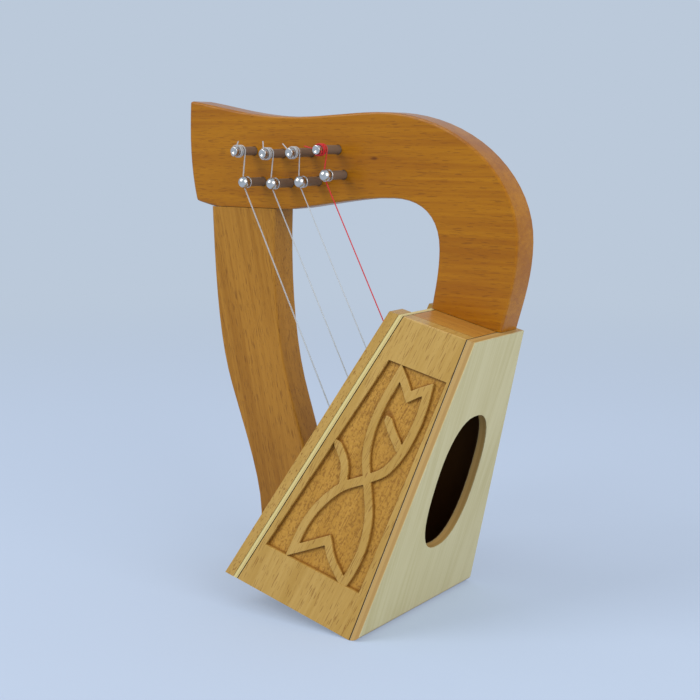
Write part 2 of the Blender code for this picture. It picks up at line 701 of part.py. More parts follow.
def string_route(index):
    """A string's points in the harp frame, from its knot to its last turn."""
    diameter = STRING_DIAMETERS[index]
    anchor_z = STRING_ANCHORS[index] * math.cos(FRONT_ANGLE)
    anchor = box_to_harp(front_x(anchor_z, SOUNDBOARD_FACE), anchor_z)
    bridge = (TIP_X + BRIDGE_PIN_INSETS[index], NECK_TOP - BRIDGE_PIN_DROPS[index])
    tuning = (TIP_X + TUNING_PIN_INSETS[index], NECK_TOP - TUNING_PIN_DROPS[index])
    bridge_side = -(GROOVE_RADIUS + diameter / 2 + CLEARANCE)
    tuning_side = PIN_RADIUS + diameter / 2 + CLEARANCE
    rise = tangent_angle(anchor, 0.0, bridge, bridge_side)
    lift = tangent_angle(bridge, bridge_side, tuning, tuning_side)
    groove_y = BOARD_FRONT - GROOVE_REACH
    wrap_y = BOARD_FRONT - winding_reach(index) + coil_step(index)

    over_bridge = around(bridge, bridge_side, rise, lift, 4)
    last = HIDDEN_ANGLE + math.pi / 2
    steps = math.ceil((last - lift) / (2 * math.pi) * LOOP_POINTS)
    on_pin = around(tuning, tuning_side, lift, last, steps)
    end = (on_pin[-1][0] + diameter * math.cos(last), on_pin[-1][1] + diameter * math.sin(last))
    points = [Vector((x, groove_y, z)) for x, z in over_bridge]
    points += [Vector((x, wrap_y, z)) for x, z in on_pin + [end]]

    start = Vector((anchor[0], 0.0, anchor[1]))
    inward = (start - points[0]).normalized()
    board_normal = math.cos(BOX_TILT + FRONT_ANGLE), -math.sin(BOX_TILT + FRONT_ANGLE)
    sink = inward.x * board_normal[0] + inward.z * board_normal[1]
    depth = SOUNDBOARD_FACE + RIB_THICK + KNOT_RADIUS + CLEARANCE
    knot = start + inward * (depth / sink)
    return start, inward, knot, points


def make_string(index, harp_frame, nylon):
    """A string with its knot inside the soundbox."""
    radius = STRING_DIAMETERS[index] / 2
    _, inward, knot, points = string_route(index)
    bulge = KNOT_RADIUS / radius
    shape = ((0.9, 0.5), (0.5, 0.87), (0.0, 1.0), (-0.5, 0.87))
    lead = [knot + inward * KNOT_RADIUS * along for along, _ in shape]
    swells = [bulge * size for _, size in shape]
    lead.append(knot - inward * KNOT_RADIUS * 1.2)
    swells.append(1.0)
    tube(
        f"string_{index + 1}", lead + points, radius, harp_frame, nylon,
        swells + [1.0] * len(points))


def drill_string_holes(harp_frame):
    """Cut the strings' slanting holes through the soundboard and the rib."""
    holes = []
    for index in STRINGS:
        start, inward, knot, _ = string_route(index)
        radius = STRING_DIAMETERS[index] / 2 + CLEARANCE
        holes.append((start - inward * TRIM_THICK, knot, radius))
    for name in ("soundboard", "string_rib"):
        drill(bpy.data.objects[name], name + "_string_holes", harp_frame, holes, 10)


def drill_pin_holes(harp_frame):
    """Cut the blind holes in the neck for its pins."""
    holes = []
    radius = PIN_RADIUS + CLEARANCE
    for insets, drops, embed in (
        (TUNING_PIN_INSETS, TUNING_PIN_DROPS, TUNING_PIN_EMBED),
        (BRIDGE_PIN_INSETS, BRIDGE_PIN_DROPS, BRIDGE_PIN_EMBED),
    ):
        for inset, drop in zip(insets, drops):
            x, z = TIP_X + inset, NECK_TOP - drop
            deep = BOARD_FRONT + embed + CLEARANCE
            holes.append(((x, BOARD_FRONT - embed, z), (x, deep, z), radius))
    drill(bpy.data.objects["neck"], "pin_holes", harp_frame, holes, PIN_SIDES)


# Dowels and screws
def make_dowel(name, start, direction, length, parent, wood):
    """A chamfered dowel from start along the direction, in the parent's frame."""
    profile = [
        (0.0, 0.0), (0.0, DOWEL_RADIUS - DOWEL_CHAMFER), (DOWEL_CHAMFER, DOWEL_RADIUS),
        (length - DOWEL_CHAMFER, DOWEL_RADIUS), (length, DOWEL_RADIUS - DOWEL_CHAMFER),
        (length, 0.0)]
    dowel = turned(name, profile, DOWEL_SIDES, parent, wood)
    dowel.location = start
    dowel.rotation_euler = Vector(direction).to_track_quat("Z", "Y").to_euler()
    return dowel


def make_neck_dowels(box_frame, wood):
    """Two dowels that stand in the top block and hold the neck's foot."""
    radius = DOWEL_RADIUS + CLEARANCE
    block_inner = half_width(BOX_HEIGHT, SIDE_THICK + GLUE)
    y = (BOARD_FRONT + block_inner) / 2
    start_z = BOX_HEIGHT - NECK_DOWEL_IN_BLOCK
    holes = []
    for number, inset in enumerate(NECK_DOWEL_INSETS, 1):
        x = back_x(BOX_HEIGHT, inset)
        make_dowel(f"neck_dowel_{number}", (x, y, start_z), (0, 0, 1), NECK_DOWEL_LENGTH, box_frame, wood)
        end_z = start_z + NECK_DOWEL_LENGTH + CLEARANCE
        holes.append(((x, y, start_z - CLEARANCE), (x, y, end_z), radius))
    for name in ("top_block", "neck"):
        drill(bpy.data.objects[name], name + "_dowel_holes", box_frame, holes)


def make_pillar_dowels(harp_frame, wood):
    """Two dowels between the pillar's top and the neck's underside."""
    radius = DOWEL_RADIUS + CLEARANCE
    start_z = NECK_UNDERSIDE - PILLAR_DOWEL_LENGTH / 2
    holes = []
    for number, inset in enumerate(PILLAR_DOWEL_INSETS, 1):
        x = PILLAR_LEFT + inset
        start = (x, BOARD_MIDDLE, start_z)
        make_dowel(f"pillar_dowel_{number}", start, (0, 0, 1), PILLAR_DOWEL_LENGTH, harp_frame, wood)
        end_z = start_z + PILLAR_DOWEL_LENGTH + CLEARANCE
        holes.append(((x, BOARD_MIDDLE, start_z - CLEARANCE), (x, BOARD_MIDDLE, end_z), radius))
    for name in ("pillar", "neck"):
        drill(bpy.data.objects[name], name + "_pillar_dowel_holes", harp_frame, holes)


def make_foot_screws(box_frame, steel):
    """Two screws from behind the bottom block into the pillar's foot."""
    head_x = front_x(BOTTOM_THICK + GLUE) + BOTTOM_BLOCK_DEPTH + GLUE
    profile = [
        (-SCREW_HEAD_HEIGHT, 0.0), (-SCREW_HEAD_HEIGHT, SCREW_HEAD_RADIUS * 0.6),
        (-SCREW_HEAD_HEIGHT / 2, SCREW_HEAD_RADIUS), (0.0, SCREW_HEAD_RADIUS),
        (0.0, SCREW_RADIUS), (SCREW_LENGTH - SCREW_POINT, SCREW_RADIUS), (SCREW_LENGTH, 0.0)]
    holes = []
    for number, side in enumerate((-1, 1), 1):
        start = (head_x, BOARD_MIDDLE + side * SCREW_SPACING / 2, SCREW_LEVEL)
        screw = turned(f"foot_screw_{number}", profile, SCREW_SIDES, box_frame, steel)
        screw.location = start
        screw.rotation_euler = (0, -math.pi / 2, 0)
        end = (head_x - SCREW_LENGTH - CLEARANCE, start[1], SCREW_LEVEL)
        holes.append((start, end, SCREW_RADIUS + CLEARANCE))
    for name in ("bottom_block", "soundboard", "pillar"):
        drill(bpy.data.objects[name], name + "_screw_holes", box_frame, holes, SCREW_SIDES)


def main():
    """Build the harp."""
    clear_scene()
    neck_wood = finish("lacquered beech, neck", 163, 108, 34, 0.30)
    pillar_wood = finish("lacquered beech, pillar", 166, 118, 62, 0.35)
    side_wood = finish("lacquered beech, sides", 193, 155, 88, 0.40)
    inner_wood = finish("plain beech", 190, 150, 95, 0.60)
    back_ply = finish("birch ply", 196, 188, 146, 0.45)
    steel = finish("nickelled steel", 205, 208, 210, 0.15, 1.0)
    clear_nylon = finish("clear nylon", 225, 225, 220, 0.25)
    red_nylon = finish("red nylon", 190, 20, 25, 0.30)

    harp_frame = frame("harp_frame", (-MIDDLE_X, 0, -FLOOR), (0, 0, 0))
    box_frame = frame("soundbox_frame", (0, 0, 0), (0, BOX_TILT, 0), harp_frame)

    make_boards(harp_frame, neck_wood, pillar_wood)
    make_side("side_panel_near", -1, box_frame, side_wood)
    make_side("side_panel_far", 1, box_frame, side_wood)
    make_back(box_frame, back_ply)
    make_blocks(box_frame, inner_wood)
    make_front(box_frame, back_ply, side_wood)
    for index in STRINGS:
        nylon = red_nylon if index == len(STRING_DIAMETERS) - 1 else clear_nylon
        pin = make_tuning_pin(index, harp_frame, steel)
        make_bridge_pin(index, harp_frame, steel)
        make_winding(index, pin, nylon)
        make_string(index, harp_frame, nylon)
    drill_pin_holes(harp_frame)
    drill_string_holes(harp_frame)
    make_neck_dowels(box_frame, inner_wood)
    make_pillar_dowels(harp_frame, inner_wood)
    make_foot_screws(box_frame, steel)


main()
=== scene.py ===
"""Dress the small harp: lacquered beech, birch ply, nickelled pins and nylon strings.

Lengths are in metres, in the frame's own axes: +X from the pillar to the
soundbox's back, +Y from the pins' side to the far side, +Z up.
"""

import logging
import math
from collections.abc import Iterator
from contextlib import contextmanager
from dataclasses import dataclass
from enum import Enum

import bmesh
import bpy
from mathutils import Matrix, Vector, kdtree


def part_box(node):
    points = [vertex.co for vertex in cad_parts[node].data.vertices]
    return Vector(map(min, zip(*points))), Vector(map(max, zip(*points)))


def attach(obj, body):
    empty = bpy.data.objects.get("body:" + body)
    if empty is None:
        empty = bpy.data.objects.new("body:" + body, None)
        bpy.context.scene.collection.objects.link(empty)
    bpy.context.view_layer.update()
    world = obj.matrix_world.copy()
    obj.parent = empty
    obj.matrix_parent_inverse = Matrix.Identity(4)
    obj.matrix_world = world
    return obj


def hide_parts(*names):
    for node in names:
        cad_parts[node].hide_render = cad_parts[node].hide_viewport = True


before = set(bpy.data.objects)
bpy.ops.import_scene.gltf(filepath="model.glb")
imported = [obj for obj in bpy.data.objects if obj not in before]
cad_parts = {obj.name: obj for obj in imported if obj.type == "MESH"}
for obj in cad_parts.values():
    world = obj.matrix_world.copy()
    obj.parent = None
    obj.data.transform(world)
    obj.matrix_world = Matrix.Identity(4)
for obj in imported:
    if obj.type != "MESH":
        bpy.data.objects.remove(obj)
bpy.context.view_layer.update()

LOG = logging.getLogger("harp")

BODY = "harp"
STRINGS = (1, 2, 3, 4)
QUARTER_TURN = math.pi / 2
Colour = tuple[float, float, float]
Place = tuple[float, float, float]
Point = tuple[float, float]
Item = bpy.types.Object
Material = bpy.types.Material
Node = bpy.types.Node
Socket = bpy.types.NodeSocket


def screen(red: int, green: int, blue: int) -> Colour:
    """Turn a 0 to 255 screen colour into linear light."""
    values = (channel / 255 for channel in (red, green, blue))
    return tuple(v / 12.92 if v <= 0.04045 else ((v + 0.055) / 1.055) ** 2.4 for v in values)


class Board:
    """The node tree of a material or a world, with short calls to add and join its nodes."""

    def __init__(self, name: str, world: bool = False) -> None:
        """Start a material, or a world, that holds only its own shader."""
        self.owner = (bpy.data.worlds if world else bpy.data.materials).new(name)
        self.owner.use_nodes = True
        self.tree = self.owner.node_tree
        self.shader = self.tree.nodes["Background" if world else "Principled BSDF"]

    def add(self, kind: str, inputs: dict | None = None, **settings) -> Node:
        """Add a node.

        Args:
            kind: the node's Blender type, less the word ShaderNode.
            inputs: values for its sockets, by name or by place; a socket joins.
            **settings: the node's own settings.

        Returns:
            The new node.
        """
        node = self.tree.nodes.new("ShaderNode" + kind)
        for key, value in settings.items():
            setattr(node, key, value)
        for key, value in (inputs or {}).items():
            self.put(node.inputs[key], value)
        return node

    def put(self, socket: Socket, value) -> None:
        """Set a socket to a value, or join another node's socket to it."""
        if isinstance(value, Socket):
            self.tree.links.new(value, socket)
        else:
            socket.default_value = value

    def math(self, operation: str, *values) -> Socket:
        """Add a Math node and return its result."""
        return self.add("Math", dict(enumerate(values)), operation=operation).outputs[0]

    def step(self, value, low: float, high: float) -> Socket:
        """A smooth step of a value from 0 at low to 1 at high."""
        node = self.add(
            "MapRange", {"Value": value, "From Min": low, "From Max": high},
            interpolation_type="SMOOTHSTEP")
        return node.outputs["Result"]

    def blend(self, share, first, second) -> Socket:
        """Mix two colours by a share between 0 and 1."""
        node = self.add("Mix", data_type="RGBA")
        for place, value in ((0, share), (6, first), (7, second)):
            if isinstance(value, tuple):
                value = (*value, 1.0)
            self.put(node.inputs[place], value)
        return node.outputs[2]

    def place(self) -> Socket:
        """Object coordinates."""
        return self.add("TexCoord").outputs["Object"]

    def vector(self, operation: str, first, second: Place = (0, 0, 0)) -> Socket:
        """Add a Vector Math node and return its number, or its vector where it has no number."""
        node = self.add("VectorMath", {0: first, 1: second}, operation=operation)
        return node.outputs["Value" if operation in ("LENGTH", "DOT_PRODUCT") else "Vector"]

    def turned(self, turn: Place, scale: Place, move: Place = (0, 0, 0)) -> Socket:
        """Object coordinates, turned and then stretched."""
        spun = self.add(
            "Mapping", {"Vector": self.place(), "Rotation": turn, "Location": move})
        return self.add("Mapping", {"Vector": spun.outputs[0], "Scale": scale}).outputs[0]

    def noise(self, vector, detail: float = 2.0, rough: float = 0.5) -> Socket:
        """A noise of scale 1 on a vector."""
        node = self.add(
            "TexNoise",
            {"Vector": vector, "Scale": 1.0, "Detail": detail, "Roughness": rough})
        return node.outputs["Fac"]

    def bump(self, height, strength: float, distance: float) -> None:
        """Raise the surface by a height."""
        node = self.add(
            "Bump", {"Height": height, "Strength": strength, "Distance": distance})
        self.put(self.shader.inputs["Normal"], node.outputs[0])

    def surface(self, **values) -> Material:
        """Set the shader's sockets, with spaces in their names as underscores.

        Returns:
            The finished material.
        """
        for key, value in values.items():
            if isinstance(value, tuple) and len(value) == 3:
                value = (*value, 1.0)
            self.put(self.shader.inputs[key.replace("_", " ")], value)
        return self.owner

    def show(self, shown: Node) -> None:
        """Let the camera, metal and clear nylon see another shader than the light does.

        Args:
            shown: the shader that they see.
        """
        rays = self.add("LightPath").outputs
        direct = self.math("MAXIMUM", rays["Is Camera Ray"], rays["Is Glossy Ray"])
        seen = self.math("MAXIMUM", direct, rays["Is Transmission Ray"])
        mixed = self.add("MixShader", {
            0: seen, 1: self.shader.outputs[0], 2: shown.outputs[0]})
        self.put(self.tree.get_output_node("ALL").inputs["Surface"], mixed.outputs[0])


@dataclass(frozen=True)
class Beech:
    """Lacquered beech: soft bands, fine pores and short dark flecks along the grain."""

    name: str
    pale: Colour
    deep: Colour
    fleck: Colour
    lean: float
    gloss: float = 0.34
    flecks: float = 0.7
    fleck_length: float = 0.0080
    fleck_width: float = 0.00050
    fleck_depth: float = 0.00050
    shine: float = 0.22
    relief: float = 0.12
    relief_height: float = 0.0002
    coat: float = 0.08
    coat_roughness: float = 0.22
    knot: Place | None = None
    knot_length: float = 0.0030
    knot_width: float = 0.0012

    def grain(self, board: Board) -> tuple:
        """Colour and height of the grain.

        Args:
            board: the material in making.

        Returns:
            The colour's socket and the height's socket.
        """
        turn = (0.0, -self.lean, 0.0)
        broad = board.noise(board.turned(turn, (55, 30, 7)), 3.0)
        bands = board.noise(board.turned(turn, (420, 0.12 / self.fleck_depth, 9)), 4.0, 0.62)
        pores = board.noise(board.turned(turn, (2600, 1.3 / self.fleck_depth, 150)), 2.0)
        dash = (1 / self.fleck_width, 1 / self.fleck_depth, 1 / self.fleck_length)
        marks = board.noise(board.turned(turn, dash, (0.013, 0.007, 0.021)), 1.0, 0.4)
        patch = board.noise(board.turned(turn, (90, 90, 30), (0.3, 0.1, 0.2)), 1.0)
        tone = board.math("MULTIPLY_ADD", bands, 0.55, board.math("MULTIPLY", broad, 0.55))
        colour = board.blend(board.step(tone, 0.38, 0.72), self.pale, self.deep)
        pore = board.math("MULTIPLY", board.step(pores, 0.55, 0.75), 0.16)
        colour = board.blend(pore, colour, self.fleck)
        threshold = board.math("MULTIPLY_ADD", patch, -0.12, 0.685)
        over = board.math("SUBTRACT", marks, threshold)
        dark = board.math("MULTIPLY", board.step(over, 0.0, 0.035), self.flecks)
        colour = board.blend(dark, colour, self.fleck)
        if self.knot:
            colour = self.knotted(board, colour)
        return colour, board.math("SUBTRACT", bands, dark)

    def knotted(self, board: Board, colour: Socket) -> Socket:
        """Add a pin knot with a dark heart to a colour.

        Args:
            board: the material in making.
            colour: the wood's colour.

        Returns:
            The colour with the knot.
        """
        along, _, up = self.knot
        size = (1 / self.knot_length, 0.0, 1 / self.knot_width)
        moved = board.vector("ADD", board.place(), (-along, 0, -up))
        reach = board.vector("LENGTH", board.vector("MULTIPLY", moved, size))
        ragged = board.noise(board.turned((0, 0, 0), (900, 200, 1800)), 2.0)
        spread = board.math("MULTIPLY_ADD", ragged, -0.5, 1.45)
        share = board.math("SUBTRACT", 1.0, board.step(
            board.math("DIVIDE", reach, spread), 0.1, 1.0))
        return board.blend(board.math("MULTIPLY", share, 0.9), colour, self.fleck)

    def material(self) -> Material:
        """Make the wood's material."""
        board = Board(self.name)
        colour, height = self.grain(board)
        return self.finish(board, colour, height)

    def finish(self, board: Board, colour: Socket, height: Socket) -> Material:
        """Raise the grain and lacquer the wood.

        Args:
            board: the material in making.
            colour: the wood's colour.
            height: the grain's height.

        Returns:
            The finished material.
        """
        board.bump(height, self.relief, self.relief_height)
        return board.surface(
            Base_Color=colour, Roughness=self.gloss, Specular_IOR_Level=self.shine,
            Coat_Weight=self.coat, Coat_Roughness=self.coat_roughness)


@dataclass(frozen=True)
class CarvedBeech(Beech):
    """Beech whose cut walls and hollows are darker than its outer face, partly from cutter burn and
    partly as painted shade that deepens with the cut's depth.
    """

    cutter_burn_and_shade: Colour = screen(142, 94, 30)
    unlit: Colour = screen(70, 46, 22)
    normal: Place = (0, -1, 0)
    face: float = 0.0
    depth: float = 0.0025
    thickness: float = 0.0080
    coat: float = 0.06
    coat_roughness: float = 0.25
    low: float = 0.0
    high: float = 1.0
    up: Place = (0, 0, 1)

    def material(self) -> Material:
        """Make the carved wood's material."""
        board = Board(self.name)
        colour, height = self.grain(board)
        place = board.place()
        below = board.math("SUBTRACT", self.face, board.vector("DOT_PRODUCT", place, self.normal))
        cut = board.step(below, 0.0003, self.depth * 0.8)
        level = board.vector("DOT_PRODUCT", place, self.up)
        inside = board.math(
            "MULTIPLY", board.math("GREATER_THAN", level, self.low),
            board.math("LESS_THAN", level, self.high))
        shallow = board.math("LESS_THAN", below, self.depth * 1.3)
        share = board.math("MULTIPLY", board.math("MULTIPLY", cut, inside), shallow)
        # painted shade: the cut walls darken from 0.3 mm below the outer face, mixed with the
        # cutter-burn tone
        colour = board.blend(board.math("MULTIPLY", share, 0.85), colour, self.cutter_burn_and_shade)
        inner = board.step(below, self.thickness - 0.0002, self.thickness - 0.0001)
        colour = board.blend(inner, colour, self.unlit)
        return self.finish(board, colour, height)


@dataclass(frozen=True)
class Stippled(Beech):
    """The carved ground, punched all over with a fine point, with painted shade in its punch pits
    and along the ribs and walls.
    """

    cutter_burn_and_shade: Colour = screen(130, 84, 26)
    crease_shade_colour: Colour = screen(128, 80, 20)
    pitch: float = 0.0013
    gloss: float = 0.5
    coat: float = 0.0
    relief: float = 0.35
    relief_height: float = 0.0003

    def material(self) -> Material:
        """Make the punched ground's material."""
        board = Board(self.name)
        colour, height = self.grain(board)
        size = 1 / self.pitch
        spots = board.noise(board.turned((0, -self.lean, 0), (size, size, size * 0.7)), 2.0, 0.6)
        # painted shade: dark spots where the bump below sinks the punch pits
        dark = board.math("MULTIPLY", board.step(spots, 0.48, 0.66), 0.55)
        colour = board.blend(dark, colour, self.cutter_burn_and_shade)
        # painted shade beside the ribs and walls, read from an attribute on the ground's mesh
        burn = board.add("Attribute", attribute_name="burn").outputs["Fac"]
        share = board.math("MULTIPLY", board.step(burn, 0.0, 1.0), 0.75)
        colour = board.blend(share, colour, self.crease_shade_colour)
        rise = board.math("SUBTRACT", height, board.math("MULTIPLY", dark, 2.0))
        return self.finish(board, colour, rise)


@dataclass(frozen=True)
class BirchPly:
    """Birch ply: a pale fine-grained face, and veneers that show on its edges."""

    name: str
    face: Colour
    shade: Colour
    edge: Colour
    brown: Colour
    normal_lean: float
    outside: float
    thickness: float
    hidden: float
    unlit: Colour = screen(70, 46, 22)
    plies: int = 3
    gloss: float = 0.42

    def material(self) -> Material:
        """Make the ply's material."""
        board = Board(self.name)
        turn = (0.0, -self.normal_lean, 0.0)
        fine = board.noise(board.turned(turn, (900, 900, 14)), 4.0, 0.6)
        broad = board.noise(board.turned(turn, (70, 70, 9)), 3.0)
        pores = board.noise(board.turned(turn, (2400, 2400, 130)), 2.0)
        tone = board.math("MULTIPLY_ADD", fine, 0.5, board.math("MULTIPLY", broad, 0.5))
        colour = board.blend(board.step(tone, 0.36, 0.68), self.face, self.shade)
        spun = board.turned(turn, (1, 1, 1))
        depth = board.add("SeparateXYZ", {0: spun}).outputs[0]
        inside = board.math("DIVIDE", board.math("SUBTRACT", self.outside, depth), self.thickness)
        wave = board.math("PINGPONG", board.math("MULTIPLY", inside, float(self.plies)), 1.0)
        core = board.math(
            "MULTIPLY", board.step(inside, 0.08, 0.12),
            board.math("SUBTRACT", 1.0, board.step(inside, 0.88, 0.92)))
        veneer = board.blend(
            board.math("MULTIPLY", board.step(wave, 0.35, 0.65), 0.45), self.edge, self.brown)
        colour = board.blend(core, colour, veneer)
        off = board.math("ABSOLUTE", board.math("SUBTRACT", inside, self.hidden))
        colour = board.blend(board.math("LESS_THAN", off, 0.07), colour, self.unlit)
        pore = board.math("MULTIPLY", board.step(pores, 0.60, 0.78), 0.20)
        colour = board.blend(pore, colour, self.shade)
        board.bump(fine, 0.06, 0.0002)
        return board.surface(
            Base_Color=colour, Roughness=self.gloss, Specular_IOR_Level=0.3)


@dataclass(frozen=True)
class Nickel:
    """Nickelled steel with faint turning marks, duller on the pins' shafts, which are painted a
    brownish grey in place of the neck's reflection.
    """

    name: str = "nickelled_steel"
    tint: Colour = screen(204, 202, 198)
    shaft: Colour = screen(132, 116, 102)
    shaft_start: float = -0.0082
    shaft_fade: float = 0.0012
    gloss: float = 0.24

    def material(self) -> Material:
        """Make the metal's material."""
        board = Board(self.name)
        marks = board.noise(board.turned((0, 0, 0), (700, 5200, 700)), 3.0, 0.6)
        haze = board.noise(board.turned((0, 0, 0), (900, 900, 900)), 2.0)
        rough = board.math("MULTIPLY_ADD", haze, 0.14, self.gloss - 0.06)
        depth = board.add("SeparateXYZ", {0: board.place()}).outputs[1]
        share = board.step(depth, self.shaft_start, self.shaft_start + self.shaft_fade)
        # painted reflection: the shaft's brownish grey stands in for the neck seen in the steel
        colour = board.blend(share, self.tint, self.shaft)
        rough = board.math("MULTIPLY_ADD", share, 0.16, rough)
        metal = board.math("MULTIPLY_ADD", share, -0.55, 1.0)
        board.bump(marks, 0.05, 0.0001)
        return board.surface(Base_Color=colour, Metallic=metal, Roughness=rough)


@dataclass(frozen=True)
class Nylon:
    """Smooth, half clear nylon string."""

    name: str
    tint: Colour
    cover: float

    def material(self) -> Material:
        """Make the string's material."""
        board = Board(self.name)
        haze = board.noise(board.turned((0, 0, 0), (350, 350, 350)), 2.0)
        pale = tuple(min(1.0, channel * 1.15 + 0.02) for channel in self.tint)
        colour = board.blend(haze, self.tint, pale)
        return board.surface(
            Base_Color=colour, Roughness=0.34, Specular_IOR_Level=0.35, Alpha=self.cover)


class Side(Enum):
    """The two sides of the soundbox, by the sign of their Y."""

    NEAR = -1
    FAR = 1


def only(item: Item) -> Item:
    """Select one object alone and make it active."""
    bpy.ops.object.select_all(action="DESELECT")
    item.select_set(True)
    bpy.context.view_layer.objects.active = item
    return item


@contextmanager
def editing(item: Item) -> Iterator[None]:
    """Hold one object in edit mode, with all of its mesh selected at the start."""
    only(item)
    bpy.ops.object.mode_set(mode="EDIT")
    bpy.ops.mesh.select_all(action="SELECT")
    yield
    bpy.ops.object.mode_set(mode="OBJECT")


def smooth(item: Item, angle: float = 32.0) -> None:
    """Shade an object smooth, apart from edges sharper than an angle in degrees."""
    only(item)
    bpy.ops.object.shade_smooth_by_angle(angle=math.radians(angle))


def apply_all(item: Item) -> None:
    """Apply an object's modifiers in order."""
    only(item)
    for modifier in list(item.modifiers):
        bpy.ops.object.modifier_apply(modifier=modifier.name)


def named(name: str) -> Item:
    """Name the object that was made last, and return it."""
    bpy.context.object.name = name
    return bpy.context.object


def dress(item: Item, material: Material) -> None:
    """Give an object one material."""
    item.data.materials.clear()
    item.data.materials.append(material)


def settle(item: Item, body: str, slot: str, *nodes: str) -> None:
    """Fasten a finished piece to its body, hide the nodes that it replaces and log it.

    Args:
        item: the piece.
        body: the body that it rides on.
        slot: not used.
        *nodes: the nodes that it replaces.
    """
    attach(item, body)
    if nodes:
        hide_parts(*nodes)
    LOG.info("%s: %d faces on %s", item.name, len(item.data.polygons), body)


def neck_face() -> float:
    """Y of the neck's near face, which the pins stand out of."""
    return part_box("neck")[0].y


def pin_axis(node: str) -> Point:
    """X and Z of a pin's axis."""
    low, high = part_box(node)
    return (low.x + high.x) / 2, (low.z + high.z) / 2


def arc(centre: Point, size: Point, first: float, last: float, steps: int) -> list[Point]:
    """Points along an arc, as (x, y).

    Args:
        centre: the arc's centre.
        size: its half sizes along x and y; a negative one mirrors it.
        first: the angle where it starts, from +y towards +x.
        last: the angle where it ends.
        steps: the number of spans between its points.

    Returns:
        The arc's points, both ends among them.
    """
    angles = [first + (last - first) * step / steps for step in range(steps + 1)]
    return [(centre[0] + size[0] * math.sin(angle), centre[1] + size[1] * math.cos(angle))
            for angle in angles]


def polar(radius: float, angle: float, up: float = 0.0) -> Vector:
    """A point at a radius and an angle, at a height."""
    return Vector((radius * math.cos(angle), radius * math.sin(angle), up))


def sanded_copy(node: str, name: str) -> Item:
    """Copy a node's solid, merge its loose triangles and shade it smooth.

    Args:
        node: the node to copy.
        name: the copy's name.

    Returns:
        The copy, in the node's place.
    """
    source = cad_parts[node]
    item = bpy.data.objects.new(name, source.data.copy())
    bpy.context.scene.collection.objects.link(item)
    with editing(item):
        bpy.ops.mesh.remove_doubles(threshold=0.00001)
        bpy.ops.mesh.dissolve_limited(angle_limit=math.radians(0.5))
    smooth(item)
    weighted = item.modifiers.new("flat faces", "WEIGHTED_NORMAL")
    weighted.keep_sharp = True
    weighted.weight = 100
    apply_all(item)
    return item


def refinish(node: str, name: str, material: Material, slot: str) -> None:
    """Put a sanded copy in a node's place.

    Args:
        node: the node, on the harp's own body.
        name: the copy's name.
        material: the copy's finish.
        slot: a material slot's name, handed on to settle.
    """
    item = sanded_copy(node, name)
    dress(item, material)
    settle(item, BODY, slot, node)


